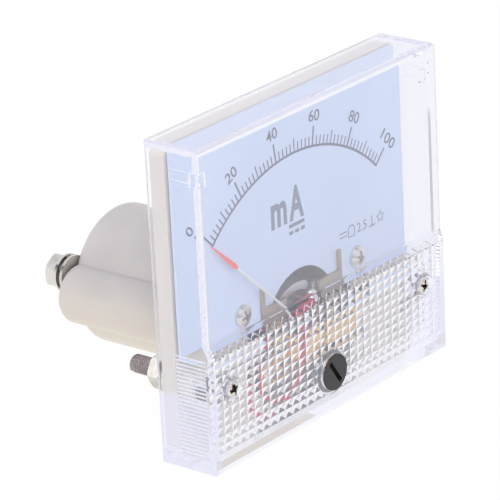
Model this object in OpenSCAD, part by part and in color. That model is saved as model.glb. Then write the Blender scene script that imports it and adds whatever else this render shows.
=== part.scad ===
// Square-faced moving-coil panel meter.
// Millimetres, +Z up. The origin is where the pointer's axis meets the panel
// plane, midway between the two mounting studs; the dial faces -Y and the
// barrel goes back through the panel along +Y.

/* [Clear cover] */
// Width of the cover
cover_w = 64; // [63:0.5:70]
// Height of the cover
cover_h = 56; // [54:0.5:62]
// Distance from the pointer's axis down to the cover's lower edge
axis_drop = 13.6; // [13.4:0.1:15]
// Depth of the cover over the window
window_d = 11.1; // [11:0.1:12]
// Depth of the cover at the top of the prism field
prow_d = 11.9; // [11.7:0.1:12.2]
// Depth of the cover at its lower edge
foot_d = 11.6; // [11.5:0.1:12]
// Height at which the window ends and the bevel begins
window_z = 8.7; // [8.4:0.1:9.4]
// Height of the bevel between window and prism field
bevel_h = 2.1; // [1.2:0.1:2.4]
// Thickness of the side and top walls
wall_t = 1.5; // [1.2:0.1:1.6]
// Thickness of the bottom wall
bottom_t = 2.2; // [1.8:0.1:2.4]
// Thickness of the window pane
pane_t = 1.8; // [1.5:0.1:1.9]
// Rounding of the cover's outer edges
edge_r = 0.5; // [0.3:0.1:0.9]

/* [Prism field] */
// Pitch of the prisms across the field
prism_px = 2.0; // [1.5:0.1:3]
// Pitch of the prisms up the field
prism_pz = 1.5; // [1.2:0.1:2.5]
// Height of each prism
prism_h = 0.6; // [0.4:0.05:0.8]
// Solid plate in front of the prisms at the field's top
prism_plate = 1.4; // [1.2:0.1:1.6]
// Height of the prism rows together
field_h = 18; // [12:1.5:18]
// Distance from the cover's lower edge up to the first row
field_lift = 3.4; // [3:0.1:4]
// Pitch of the flutes inside the side walls
flute_p = 0.7; // [0.6:0.05:1.2]
// Depth of those flutes
flute_h = 0.2; // [0.1:0.05:0.25]

/* [Zero adjuster] */
// Distance from the pointer's axis down to the adjuster
adj_drop = 6.5; // [6.3:0.1:6.8]
// Diameter of the adjuster's face
adj_d = 6.5; // [5.5:0.1:6.8]
// Length of its screwdriver slot
adj_slot_l = 4.8; // [3:0.1:5.2]
// Width of the slot
adj_slot_w = 0.85; // [0.6:0.05:1.2]
// Turn of the slot from upright
adj_slot_turn = 34.4; // [0:0.1:90]
// Throw of its eccentric pin
adj_throw = 1.0; // [0.8:0.05:1.1]
// Diameter of the eccentric pin
adj_pin_d = 1.0; // [0.8:0.1:1.2]

/* [Case] */
// Thickness of the case flange
flange_t = 2.9; // [2.5:0.1:2.9]
// Set-back of the flange from the panel plane
flange_back = 0.3; // [0.1:0.1:0.5]
// Outer radius of the barrel
barrel_r = 12.34; // [12.2:0.02:13]
// Length of the barrel behind the panel plane
barrel_l = 35; // [33:0.5:40]
// Height of the barrel's axis above the pointer's axis
barrel_z = 2.16; // [2:0.02:2.4]
// Wall of the barrel
barrel_wall = 1.5; // [1.2:0.05:1.5]
// Rear wall of the barrel
barrel_floor = 1.6; // [1.2:0.1:3]
// Outer radius of the terminal lobes
lobe_r = 5.2; // [5.1:0.1:5.6]
// Distance of each lobe from the middle
lobe_x = 11.6; // [11.4:0.1:12]
// Rounding of the barrel's rear edge
barrel_round = 1.2; // [0.6:0.1:1.4]

/* [Mounting and cover screws] */
// Distance of each mounting stud from the cover's side
stud_inset = 5.6; // [5.5:0.1:6]
// Diameter of the mounting and terminal threads
stud_d = 2.9; // [2.8:0.02:3]
// Depth of the threads, by which the studs are thinner inside their nuts
thread_drop = 0.2; // [0.18:0.01:0.26]
// Length of the mounting studs behind the panel plane
stud_l = 9.6; // [8:0.2:14]
// Width of a nut across its flats
nut_af = 5.5; // [5:0.1:5.8]
// Thickness of a nut
nut_t = 2.4; // [2:0.1:2.8]
// Diameter of a flat washer
washer_d = 6.8; // [6:0.1:7]
// Thickness of a flat washer
washer_t = 0.5; // [0.4:0.05:0.7]
// Diameter of a spring washer
spring_washer_d = 5.2; // [4.8:0.1:5.6]
// Thickness of a spring washer
spring_washer_t = 0.8; // [0.7:0.05:1]
// Height of an unloaded spring washer
spring_washer_h = 1.5; // [1.3:0.05:1.6]
// Head diameter of the cover screws
cover_screw_d = 3.4; // [3:0.1:3.6]
// Thread diameter of the cover screws
cover_thread_d = 2.3; // [2:0.1:2.4]
// Diameter of the clear bosses round the cover screws
cover_boss_d = 4.7; // [4.6:0.1:5]

/* [Terminals] */
// Height of the terminals above the pointer's axis
term_z = 5.4; // [5.2:0.1:5.5]
// Length of the terminal studs behind the barrel
term_l = 5.2; // [5:0.1:8]
// Turn of the terminal nuts
term_nut_turn = 33; // [0:1:59]

/* [Dial] */
// Distance of the dial plate from the cover's sides
dial_side = 2.3; // [1.9:0.1:3]
// Distance of the dial plate from the cover's top
dial_top = 2; // [1.9:0.1:3]
// Height of the dial's lower edge above the pointer's axis
dial_z = 5.2; // [5.1:0.1:5.5]
// Thickness of the dial plate
dial_t = 0.5; // [0.3:0.05:0.5]
// Gap between flange and dial plate
dial_gap = 0.4; // [0.3:0.05:0.6]
// Radius of the arch over the movement
arch_r = 9.5; // [8:0.1:10]
// Height of the arch's centre above the pointer's axis
arch_z = 1.4; // [0:0.1:2]
// Radius of the scale's base line
scale_r = 31.4; // [29:0.1:32]
// Half the angle of the scale
scale_half = 45; // [40:1:48]
// Number of scale intervals
scale_n = 50; // [40:10:60]
// Height of the printed ink
ink_t = 0.04; // [0.02:0.01:0.06]
// Distance of each dial screw from the middle
dial_screw_x = 15.7; // [15:0.1:17]
// Height of the dial screws above the pointer's axis
dial_screw_z = 7.8; // [7.6:0.1:9]
// Head diameter of the dial screws
dial_screw_d = 3.8; // [3:0.1:4]

/* [Magnet system] */
// Outer radius of the yoke ring
yoke_r = 8.05; // [7.9:0.05:8.3]
// Bore radius of the yoke ring
yoke_bore = 6.6; // [6.5:0.05:6.8]
// Length of the yoke ring
yoke_l = 12.2; // [11.4:0.1:13]
// Radius of the core magnet
core_r = 4.3; // [4:0.05:4.35]
// Length of the core magnet
core_l = 10; // [9:0.1:10.2]
// Half the angle that each core spacer fills
spacer_half = 25; // [15:1:28]
// Thickness of the clip over the yoke ring
clip_t = 0.4; // [0.3:0.05:0.5]
// Turn of the clip to the right of upright
clip_turn = 33; // [30:1:40]

/* [Moving coil] */
// Gap between core and coil former
coil_gap = 0.4; // [0.3:0.05:0.45]
// Wall of the coil former
former_t = 0.4; // [0.3:0.05:0.45]
// Thickness of the winding
winding_t = 0.5; // [0.3:0.05:0.55]
// Width of the coil former
former_w = 2.6; // [1.6:0.1:3]
// Diameter of the pivot staffs
staff_d = 0.9; // [0.7:0.05:1]
// Angle of the pointer left of upright when it rests on its stop
rest_angle = 46; // [45.5:0.1:47]
// Length of the pointer from its axis
pointer_l = 32.6; // [30:0.1:33]
// Diameter of the pointer's tube
pointer_d = 0.45; // [0.35:0.05:0.6]
// Length of the pointer's flat tip
tip_l = 8; // [5:0.1:10]
// Width of the flat tip
tip_w = 0.9; // [0.5:0.05:1.1]
// Distance of the hub's plane in front of the panel plane
hub_y = 6.6; // [6.5:0.05:6.65]
// Distance of the tip in front of the panel plane
tip_y = 4.8; // [4.7:0.05:5]
// Length of the side balance arms
arm_l = 5.2; // [4.6:0.1:5.3]
// Length of the balance tail
tail_l = 7.3; // [7.1:0.1:7.5]
// Turns of each hairspring
spring_turns = 3.5; // [2.5:1:4.5]

/* [Movement frame] */
// Thickness of the movement plate
plate_t = 0.8; // [0.6:0.05:0.8]
// Radius of the plate's hole round the coil
plate_bore = 6.4; // [6.2:0.05:6.5]
// Width of the strip below the dial
strip_w = 21.8; // [20:0.1:22]
// Height of the strip's top edge above the pointer's axis
strip_z = 7.2; // [6.8:0.1:7.4]
// Height of the strip's end posts above the pointer's axis
post_z = 10.75; // [8:0.05:11]
// Width of the end posts
post_w = 0.8; // [0.5:0.05:1]
// Thickness of the strip
strip_t = 0.5; // [0.4:0.05:0.5]
// Half the width of the strip's opening over the coil
strip_open = 4.5; // [4.3:0.1:6]
// Thickness of the bridges
bridge_t = 0.8; // [0.6:0.05:0.8]
// Half the width of the front bridge across its legs
bridge_x = 9.2; // [9:0.05:9.4]
// Height of the bridges' strips
bridge_w = 4; // [3:0.1:4]
// Diameter of the jewel screws
jewel_d = 2; // [1.8:0.05:2.1]

/* [Hidden] */
$fn = 64;

// Clearances
slip = 0.05;          // running fit, on the radius
seat = 0.02;          // fixed fit, on the radius
nest = 0.3;           // flange inside the cover
open = 0.1;           // overrun of a cut past a face

// Cover
z_low = -axis_drop;
z_high = cover_h - axis_drop;
prow_z = window_z - bevel_h;
pane_y = -(window_d - pane_t);
prism_y = -(prow_d - prism_plate);
field_z = z_low + field_lift;
rib_z = z_high - 6.5;
rib_gap = 1.8;
rib_h = 0.35;
rib_l = 4.8;
catch_h = 2.3;
catch_t = 1.2;
screw_seat = -(prow_d - 1.5);

// Case
flange_y = -flange_back;
flange_front = flange_y - flange_t;
flute_front = pane_y - 0.3;
flute_back = flange_front - 0.4;
stud_x = cover_w / 2 - stud_inset;
root_r = stud_d / 2 - thread_drop;
free_gap = 0.2;
lead_r = 0.5;
pad_r = washer_d / 2 + 0.3;
boss_r = 3.3;
boss_front = flange_front - 2.8;
sleeve_r = 2.0;
sleeve_back = -1.5;
cavity_r = barrel_r - barrel_wall;
channel_r = 3.6;
channel_stop = 6;
channel_end = barrel_l - channel_stop;
term_embed = 10;
term_nut_y = barrel_l + 2 * washer_t + spring_washer_t;
mount_nut_y = washer_t + spring_washer_h;
lug_l = 8.6;
lug_t = 0.55;

// Dial
dial_back = flange_front - dial_gap;
dial_front = dial_back - dial_t;
dial_w = cover_w - 2 * dial_side;
dial_h = z_high - dial_top - dial_z;
tick_long = 3.45;
tick_mid = 2.4;
tick_short = 1.7;

// Movement plate and strip
plate_front = flange_front - plate_t;
strip_back = dial_front - slip;
strip_front = strip_back - strip_t;
strip_low = dial_z - 0.8;
plate_top = dial_z - 0.2;
fix_x = 10.5;
fix_z = -7;

// Bridges and jewels
foot_x = bridge_x + 1.8;
foot_lap = 1.6;
front_strip_back = -7.6;
front_strip_front = front_strip_back - bridge_t;
jewel_r = jewel_d / 2;
jewel_nut_t = 0.55;
jewel_nut_af = 3;
front_jewel_end = front_strip_back + 0.5;
yoke_end = flange_front + yoke_l;
core_y = flange_front + 1.7;
coil_front_in = core_y - 1;
coil_rear_in = core_y + core_l + 1;
coil_front = coil_front_in - former_t - winding_t;
coil_rear = coil_rear_in + former_t + winding_t;
rear_strip = coil_rear + 2.2;
rear_jewel_end = rear_strip - 0.7;

// Coil
coil_in = core_r + coil_gap;
coil_mid = coil_in + former_t;
coil_out = coil_mid + winding_t;
pivot_disc = 0.4;
staff_r = staff_d / 2;
collet_r = 0.8;
spring_t = 0.12;
spring_w = 0.3;
spring_r = 4.2;
front_spring_y = -5.05;
rear_spring_y = coil_rear + 0.7;

// Stops and zero lever
stop_pin_r = 0.35;
stop_r = tail_l - 0.4;
arm_t = 0.5;
stop_angle = rest_angle + asin((arm_t / 2 + stop_pin_r + seat) / stop_r);
weight_r = 0.5;
lever_t = 0.25;
lever_back = front_strip_back + slip + lever_t;
lever_r = 2;
lever_arm_a = 72;
lever_arm_r = 6.55;
slot_gap = 0.3;
adj_r = adj_d / 2;
adj_collar_r = adj_r + 0.45;
adj_front = -(prow_d - 0.05);
adj_slot_depth = 0.9;
adj_ring_back = -9.9;
adj_collar_y = adj_ring_back + slip;

// ------------------------------------------------------------ shape helpers

// A flat outline in X and Z, extruded from y0 back to y1.
module span_y(y0, y1) {
    translate([0, y1, 0]) rotate([90, 0, 0]) linear_extrude(height = y1 - y0) children();
}

// A round bar along Y.
module rod_y(x, z, r, y0, y1) {
    translate([x, y1, z]) rotate([90, 0, 0]) cylinder(h = y1 - y0, r = r);
}

// A turned body about a line along Y; its outline is radius against Y.
module turned_y(x, z) {
    translate([x, 0, z]) rotate([-90, 0, 0]) rotate_extrude() children();
}

// A rectangle about the origin with round corners.
module round_rect(w, h, r) {
    square([w - 2 * r, h], center = true);
    square([w, h - 2 * r], center = true);
    for (x = [-1, 1], y = [-1, 1])
        translate([x * (w / 2 - r), y * (h / 2 - r)]) circle(r);
}

// The same piece on the left and on the right.
module both_sides() {
    children();
    mirror([1, 0, 0]) children();
}

// A saw-tooth outline of n teeth of pitch p and height h, on a base strip.
module saw(n, p, h, base) {
    polygon(concat(
        [[0, -base]],
        [for (i = [0 : 2 * n]) [i * p / 2, (i % 2) * h]],
        [[n * p, -base]]));
}

// Hexagon nut on a bar of radius r, with chamfered corners.
module hex_nut(x, z, af, r, y0, y1, turn) {
    corner = af / 2 / cos(30);
    bevel = (corner - af / 2) * 0.6;
    difference() {
        intersection() {
            translate([x, y1, z]) rotate([90, turn, 0])
                cylinder(h = y1 - y0, r = corner, $fn = 6);
            turned_y(x, z) polygon([[0, y0], [corner - bevel, y0], [corner, y0 + bevel],
                [corner, y1 - bevel], [corner - bevel, y1], [0, y1]]);
        }
        rod_y(x, z, r, y0 - open, y1 + open);
    }
}

// Flat washer.
module washer(x, z, y0) {
    difference() {
        rod_y(x, z, washer_d / 2, y0, y0 + washer_t);
        rod_y(x, z, stud_d / 2 + 0.15, y0 - open, y0 + washer_t + open);
    }
}

// Split spring washer that lies between y0 and y0 + h.
module spring_washer(x, z, y0, h) {
    lean = asin((h - spring_washer_t) / spring_washer_d * 0.98);
    translate([x, y0 + h / 2, z]) rotate([lean, 0, 0]) difference() {
        rod_y(0, 0, spring_washer_d / 2, -spring_washer_t / 2, spring_washer_t / 2);
        rod_y(0, 0, stud_d / 2 + 0.15, -spring_washer_t, spring_washer_t);
        rotate([0, 0, 25]) translate([-0.2, -spring_washer_t, 0])
            cube([0.4, 2 * spring_washer_t, spring_washer_d]);
    }
}

// Cross recess of a screw whose head starts at y0.
module cross_recess(x, z, y0, l, w, depth, turn) {
    translate([x, y0 + depth / 2 - open / 2, z]) rotate([0, turn, 0])
        for (a = [0, 90]) rotate([0, a, 0]) cube([l, depth + open, w], center = true);
}

// Pan-headed screw along Y; the head stands from seat_y to seat_y - head_h.
module pan_screw(x, z, head_r, head_h, r, seat_y, tip_y, turn) {
    crown = head_h * 0.55;
    difference() {
        union() {
            rod_y(x, z, r, seat_y - open, tip_y);
            turned_y(x, z) intersection() {
                translate([0, seat_y - head_h]) square([head_r, head_h]);
                translate([0, seat_y - head_h + (head_r * head_r + crown * crown) / 2 / crown])
                    circle((head_r * head_r + crown * crown) / 2 / crown);
            }
        }
        cross_recess(x, z, seat_y - head_h, head_r * 1.15, head_r * 0.24, head_h * 0.7, turn);
    }
}

// Flat spiral strip from r0 out to r1, starting at angle a.
function spiral_ring(r0, r1, turns, a, n, off) =
    [for (i = [0 : n]) let (t = i / n, r = r0 + (r1 - r0) * t + off, g = a + 360 * turns * t)
        [r * cos(g), r * sin(g)]];
module spiral(r0, r1, turns, a, t) {
    n = round(turns * 20);
    outer = spiral_ring(r0, r1, turns, a, n, t / 2);
    inner = spiral_ring(r0, r1, turns, a, n, -t / 2);
    polygon(concat(outer, [for (i = [n : -1 : 0]) inner[i]]));
}

// Round wire of radius r swept through points with n sides.
function unit(v) = v / norm(v);
function heading(p, i) = unit(p[min(i + 1, len(p) - 1)] - p[max(i - 1, 0)]);
function wire_ring(p, i, r, n) =
    let (d = heading(p, i), side = unit(cross(d, [0.3, 0.2, 1])), top = cross(side, d))
    [for (k = [0 : n - 1]) p[i] + r * (cos(360 * k / n) * side + sin(360 * k / n) * top)];
module wire(p, r, n = 8) {
    m = len(p);
    rings = [for (i = [0 : m - 1]) each wire_ring(p, i, r, n)];
    skin = [for (i = [0 : m - 2], k = [0 : n - 1])
        [i * n + k, i * n + (k + 1) % n, (i + 1) * n + (k + 1) % n, (i + 1) * n + k]];
    polyhedron(rings, concat(skin,
        [[for (k = [n - 1 : -1 : 0]) k]], [[for (k = [0 : n - 1]) (m - 1) * n + k]]));
}

// Smooth curve through hand-set points, k steps to each.
function bow(a, b, c, d, t) =
    0.5 * (2 * b + (c - a) * t + (2 * a - 5 * b + 4 * c - d) * t * t
        + (3 * b - a - 3 * c + d) * t * t * t);
function eased(p, k) = concat([for (i = [0 : len(p) - 2], j = [0 : k - 1])
    bow(p[max(i - 1, 0)], p[i], p[i + 1], p[min(i + 2, len(p) - 1)], j / k)], [p[len(p) - 1]]);

// ------------------------------------------------------------- clear cover

module cover_outer() {
    mid_z = (z_low + z_high) / 2;
    intersection() {
        translate([-cover_w / 2, 0, 0]) rotate([90, 0, 90]) linear_extrude(height = cover_w)
            polygon([[0, z_low], [-foot_d + edge_r, z_low], [-foot_d, z_low + edge_r],
                [-prow_d, prow_z], [-window_d, window_z], [-window_d, z_high - edge_r],
                [-window_d + edge_r, z_high], [0, z_high]]);
        translate([0, -prow_d / 2, z_low]) linear_extrude(height = cover_h)
            round_rect(cover_w, prow_d, edge_r);
        translate([0, 0, mid_z]) span_y(-prow_d - open, 0) round_rect(cover_w, cover_h, edge_r);
    }
}

module cover_hollow() {
    inner_w = cover_w - 2 * wall_t;
    translate([-inner_w / 2, 0, 0]) rotate([90, 0, 90]) linear_extrude(height = inner_w)
        polygon([[open, z_low + bottom_t], [prism_y, z_low + bottom_t],
            [prism_y, prow_z], [pane_y, window_z - 0.3],
            [pane_y, z_high - wall_t], [open, z_high - wall_t]]);
}

module prism_field() {
    nx = ceil((cover_w - 2 * wall_t) / prism_px);
    nz = round(field_h / prism_pz);
    sink = 0.2;
    difference() {
        intersection() {
            translate([-nx * prism_px / 2, prism_y, field_z])
                linear_extrude(height = nz * prism_pz) saw(nx, prism_px, prism_h, sink);
            translate([-cover_w / 2, 0, 0]) rotate([90, 0, 90]) linear_extrude(height = cover_w)
                translate([prism_y, field_z]) rotate(90) mirror([0, 1])
                    saw(nz, prism_pz, prism_h, sink);
        }
        for (x = [-stud_x, stud_x]) rod_y(x, 0, cover_boss_d / 2, prism_y, 0);
        rod_y(0, -adj_drop, adj_r + 0.75, prism_y, 0);
    }
}

module wall_flutes() {
    n = floor((prow_z - z_low - bottom_t) / flute_p);
    both_sides() translate([cover_w / 2 - wall_t, flute_back, z_low + bottom_t])
        rotate([90, 0, 0]) linear_extrude(height = flute_back - flute_front)
            rotate(90) saw(n, flute_p, flute_h, 0.2);
}

module snap_ribs() {
    both_sides() translate([cover_w / 2 - wall_t, 0, 0]) {
        for (z = [rib_z, rib_z + rib_gap])
            translate([-rib_h, pane_y - open, z]) cube([rib_h + open, rib_l + open, 0.4]);
        translate([-catch_t, pane_y - open, rib_z - 0.2]) cube([catch_t + open, 1, catch_h]);
    }
}

module front_cover() {
    color([0.9, 0.9, 0.98, 0.4]) difference() {
        union() {
            difference() {
                cover_outer();
                cover_hollow();
            }
            prism_field();
            wall_flutes();
            snap_ribs();
            for (x = [-stud_x, stud_x])
                rod_y(x, 0, cover_boss_d / 2, prism_y - 0.2, boss_front - slip);
            rod_y(0, -adj_drop, adj_r + 0.75, prism_y - 0.2, adj_ring_back);
        }
        for (x = [-stud_x, stud_x]) {
            rod_y(x, 0, cover_thread_d / 2 + 0.15, -prow_d - open, 0);
            rod_y(x, 0, cover_screw_d / 2 + 0.1, -prow_d - open, screw_seat);
        }
        rod_y(0, -adj_drop, adj_r, -prow_d - open, 0);
    }
}

module cover_screws() {
    color("silver") for (s = [-1, 1])
        pan_screw(s * stud_x, 0, cover_screw_d / 2, 1.3, cover_thread_d / 2,
            screw_seat, flange_front + 0.2, 20 * s);
}

module zero_adjuster() {
    color([0.12, 0.12, 0.13]) translate([0, 0, -adj_drop]) difference() {
        union() {
            rod_y(0, 0, adj_r - slip, adj_front, adj_collar_y);
            rod_y(0, 0, adj_collar_r, adj_collar_y, adj_collar_y + 0.5);
            rod_y(0, -adj_throw, adj_pin_d / 2, adj_collar_y, lever_back + 0.15);
        }
        translate([0, adj_front, 0]) rotate([0, -adj_slot_turn, 0])
            cube([adj_slot_w, 2 * adj_slot_depth, adj_slot_l], center = true);
    }
}

// ---------------------------------------------------------------- the case

module barrel_outline(r, lobe) {
    translate([0, barrel_z]) circle(r);
    for (x = [-lobe_x, lobe_x]) translate([x, barrel_z]) circle(lobe);
}

module round_ended(x, r) {
    turned_y(x, barrel_z) {
        translate([0, flange_y - open]) square([r, barrel_l - barrel_round - flange_y + open]);
        square([r - barrel_round, barrel_l]);
        translate([r - barrel_round, barrel_l - barrel_round]) circle(barrel_round);
    }
}

module base_case() {
    mid_z = (z_low + bottom_t + z_high - wall_t) / 2;
    flange_w = cover_w - 2 * wall_t - 2 * nest;
    flange_h = cover_h - bottom_t - wall_t - 2 * nest;
    color([0.9, 0.88, 0.84]) difference() {
        union() {
            translate([0, 0, mid_z]) span_y(flange_front, flange_y)
                round_rect(flange_w, flange_h, 0.8);
            round_ended(0, barrel_r);
            for (x = [-lobe_x, lobe_x]) round_ended(x, lobe_r);
            for (x = [-stud_x, stud_x]) {
                rod_y(x, 0, boss_r, boss_front + slip, flange_y);
                rod_y(x, 0, pad_r, flange_y - open, 0);
            }
            for (x = [-dial_screw_x, dial_screw_x])
                rod_y(x, dial_screw_z, 2.4, dial_back, flange_y);
            for (x = [-1, 1] * (cover_w / 2 - 7)) rod_y(x, z_high - 6.4, 1.5, dial_back, flange_y);
        }
        span_y(flange_front - open, barrel_l - barrel_floor)
            translate([0, barrel_z]) circle(cavity_r);
        for (x = [-lobe_x, lobe_x]) {
            rod_y(x, barrel_z, channel_r, flange_front - open, channel_end);
            rod_y(x, term_z, root_r + seat, barrel_l - term_embed - 1, barrel_l + open);
        }
        for (x = [-stud_x, stud_x]) {
            rod_y(x, 0, sleeve_r + seat, boss_front - open, sleeve_back);
            rod_y(x, 0, root_r + seat, sleeve_back - 0.5, open);
        }
        for (x = [-dial_screw_x, dial_screw_x])
            rod_y(x, dial_screw_z, 0.92, dial_back - open, flange_y - 0.5);
        for (x = [-fix_x, fix_x]) rod_y(x, fix_z, 0.92, flange_front - open, flange_y - 0.5);
    }
}

// ------------------------------------------------------------------- dial

module scale_marks() {
    step = 2 * scale_half / scale_n;
    intersection() {
        difference() {
            circle(scale_r + 0.2, $fn = 180);
            circle(scale_r - 0.2, $fn = 180);
        }
        polygon([[0, 0], 60 * [-sin(scale_half), cos(scale_half)], [0, 90],
            60 * [sin(scale_half), cos(scale_half)]]);
    }
    for (i = [0 : scale_n]) {
        long = (i % 10 == 0);
        mid = (i % 5 == 0);
        l = long ? tick_long : mid ? tick_mid : tick_short;
        w = long ? 0.35 : 0.25;
        rotate(scale_half - i * step) translate([-w / 2, scale_r - 0.1]) square([w, l + 0.1]);
    }
}

module dial_plate() {
    color([0.8, 0.87, 0.96]) {
        span_y(dial_front, dial_back) difference() {
            translate([-dial_w / 2, dial_z]) square([dial_w, dial_h]);
            translate([0, arch_z]) circle(arch_r);
            for (x = [-dial_screw_x, dial_screw_x]) translate([x, dial_screw_z]) circle(1.1);
        }
        span_y(dial_front - ink_t, dial_front + ink_t) intersection() {
            scale_marks();
            translate([-dial_w / 2, dial_z]) square([dial_w, dial_h]);
        }
    }
}

module dial_screws() {
    color("silver") for (s = [-1, 1])
        pan_screw(s * dial_screw_x, dial_screw_z, dial_screw_d / 2, 1.1, 0.9,
            dial_front, flange_y - 0.8, 15 * s);
}

// --------------------------------------------------------- movement frame

module movement_plate() {
    wing_x = foot_x + foot_lap;
    wing_z = bridge_w / 2 + 0.4;
    link_x = strip_w / 2 - 1;
    low_x = fix_x + 2.2;
    low_z = fix_z - 2;
    color([0.62, 0.63, 0.64]) {
        difference() {
            union() {
                both_sides() span_y(plate_front, flange_front) polygon([[-open, low_z],
                    [low_x, low_z], [low_x, fix_z + 2], [yoke_r + 1, -wing_z],
                    [wing_x, -wing_z], [wing_x, wing_z], [link_x, wing_z],
                    [link_x, plate_top], [-open, plate_top]]);
                both_sides() span_y(strip_front, flange_front) translate([strip_open, strip_low])
                    square([link_x - strip_open, plate_top - strip_low]);
            }
            rod_y(0, 0, plate_bore, strip_back, flange_front + open);
            for (x = [-foot_x, foot_x]) rod_y(x, 0, 0.82, plate_front - open, flange_front + open);
            for (x = [-fix_x, fix_x])
                rod_y(x, fix_z, 1.0, plate_front - open, flange_front + open);
        }
        both_sides() span_y(strip_front, strip_back) {
            translate([strip_open, strip_low])
                square([strip_w / 2 - strip_open, strip_z - strip_low]);
            translate([strip_w / 2 - post_w, strip_z - open])
                square([post_w, post_z - strip_z + open]);
        }
        for (s = [-1, 1])
            rod_y(s * stop_r * sin(stop_angle), -stop_r * cos(stop_angle), stop_pin_r,
                -hub_y - 0.4, plate_front + open);
    }
}

module movement_screws() {
    color("silver") for (s = [-1, 1])
        pan_screw(s * fix_x, fix_z, 1.6, 0.9, 0.9, plate_front, flange_y - 0.8, 30 * s);
}

module yoke_ring() {
    color([0.7, 0.71, 0.72]) difference() {
        rod_y(0, 0, yoke_r, flange_front, yoke_end);
        rod_y(0, 0, yoke_bore, flange_front - open, yoke_end + open);
    }
}

// Strip bent over the yoke ring, with a leg down in front of it and a lip behind.
module yoke_clip() {
    inner = yoke_r + slip;
    outer = inner + clip_t;
    half = 6;
    sides = [for (a = [clip_turn - half, clip_turn + half]) [sin(a), cos(a)]];
    leg_x = 3.35;
    leg_w = 1.25;
    leg_z = plate_top + 0.15;
    lip_y = yoke_end + slip;
    color("silver") {
        span_y(plate_front, lip_y + clip_t) clip_sector(inner, outer, sides);
        span_y(plate_front, plate_front + clip_t) polygon([[leg_x, leg_z],
            [leg_x + leg_w, leg_z], (outer - 0.1) * sides[1], (outer - 0.1) * sides[0]]);
        span_y(lip_y, lip_y + clip_t) clip_sector(yoke_bore + 0.4, outer, sides);
    }
}
module clip_sector(r0, r1, sides) {
    intersection() {
        difference() {
            circle(r1);
            circle(r0);
        }
        polygon([[0, 0], 2 * r1 * sides[0], 2 * r1 * sides[1]]);
    }
}

module core_magnet() {
    color([0.45, 0.46, 0.48]) rod_y(0, 0, core_r, core_y, core_y + core_l);
}

module core_spacers() {
    reach = 2 * yoke_bore;
    color([0.85, 0.86, 0.88]) for (s = [-1, 1])
        span_y(core_y + 1.5, core_y + core_l - 1.5) intersection() {
            difference() {
                circle(yoke_bore - seat);
                circle(core_r + seat);
            }
            polygon([[0, 0], s * reach * [-sin(spacer_half), cos(spacer_half)],
                s * reach * [sin(spacer_half), cos(spacer_half)]]);
        }
}

module front_bridge() {
    leg_x = bridge_x - bridge_t;
    color([0.75, 0.75, 0.76]) difference() {
        union() {
            translate([-bridge_x, front_strip_front, -bridge_w / 2])
                cube([2 * bridge_x, bridge_t, bridge_w]);
            both_sides() {
                translate([leg_x, front_strip_front, -bridge_w / 2])
                    cube([bridge_t, plate_front - front_strip_front, bridge_w]);
                translate([leg_x, plate_front - bridge_t, -bridge_w / 2])
                    cube([foot_x + foot_lap - leg_x, bridge_t, bridge_w]);
            }
        }
        rod_y(0, 0, jewel_r + seat, front_strip_front - open, front_strip_back + open);
        for (x = [-foot_x, foot_x])
            rod_y(x, 0, 0.9, plate_front - bridge_t - open, plate_front + open);
    }
}

module bridge_screws() {
    color("silver") for (s = [-1, 1])
        pan_screw(s * foot_x, 0, 1.4, 0.8, 0.8, plate_front - bridge_t, flange_front + 0.2, 10 * s);
}

// Jewel screw along Y: cup at the cup_y end, driver slot at the far end.
module jewel_screw(cup_y, far_y) {
    way = sign(far_y - cup_y);
    difference() {
        rod_y(0, 0, jewel_r, min(cup_y, far_y), max(cup_y, far_y));
        turned_y(0, 0) polygon([[0, cup_y - way * open], [0.8, cup_y - way * open],
            [0.75, cup_y], [0.12, cup_y + way * 0.6], [0, cup_y + way * 0.6]]);
        translate([0, far_y, 0]) cube([0.35, 0.8, jewel_d + 1], center = true);
    }
}

module front_jewel_screw() {
    color([0.85, 0.7, 0.35]) jewel_screw(front_jewel_end, front_strip_front - jewel_nut_t - 0.35);
}

module front_jewel_nut() {
    color([0.85, 0.7, 0.35]) hex_nut(0, 0, jewel_nut_af, jewel_r + seat,
        front_strip_front - jewel_nut_t, front_strip_front, 0);
}

module zero_lever() {
    arm_x = lever_arm_r * sin(lever_arm_a);
    arm_z = lever_arm_r * cos(lever_arm_a);
    fork = adj_pin_d + 2 * slot_gap;
    color([0.88, 0.88, 0.9]) {
        span_y(lever_back - lever_t, lever_back) difference() {
            union() {
                circle(lever_r);
                translate([-fork / 2 - 0.6, -adj_drop - adj_throw - 1.2])
                    square([fork + 1.2, adj_drop + adj_throw + 1.2]);
                rotate(90 - lever_arm_a) translate([0, -0.6]) square([lever_arm_r + 0.25, 1.2]);
            }
            circle(jewel_r + slip);
            translate([-fork / 2, -adj_drop - adj_throw - 2])
                square([fork, adj_throw + 2 + adj_throw + 0.9]);
        }
        span_y(lever_back - lever_t, front_spring_y + spring_w)
            rotate(90 - lever_arm_a) translate([lever_arm_r - 0.25, -0.6]) square([0.5, 1.2]);
    }
}

module rear_bridge() {
    leg = yoke_r - 0.2;
    color([0.75, 0.75, 0.76]) difference() {
        union() {
            translate([-leg, rear_strip, -bridge_w / 2]) cube([2 * leg, bridge_t, bridge_w]);
            both_sides() translate([yoke_bore + 0.3, yoke_end, -bridge_w / 2])
                cube([leg - yoke_bore - 0.3, rear_strip - yoke_end + open, bridge_w]);
        }
        rod_y(0, 0, jewel_r + seat, rear_strip - open, rear_strip + bridge_t + open);
    }
}

module rear_jewel_screw() {
    color([0.85, 0.7, 0.35]) jewel_screw(rear_jewel_end, rear_strip + bridge_t + jewel_nut_t + 0.5);
}

module rear_jewel_nut() {
    color([0.85, 0.7, 0.35]) hex_nut(0, 0, jewel_nut_af, jewel_r + seat,
        rear_strip + bridge_t, rear_strip + bridge_t + jewel_nut_t, 0);
}

// ------------------------------------------------------------ moving coil

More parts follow.
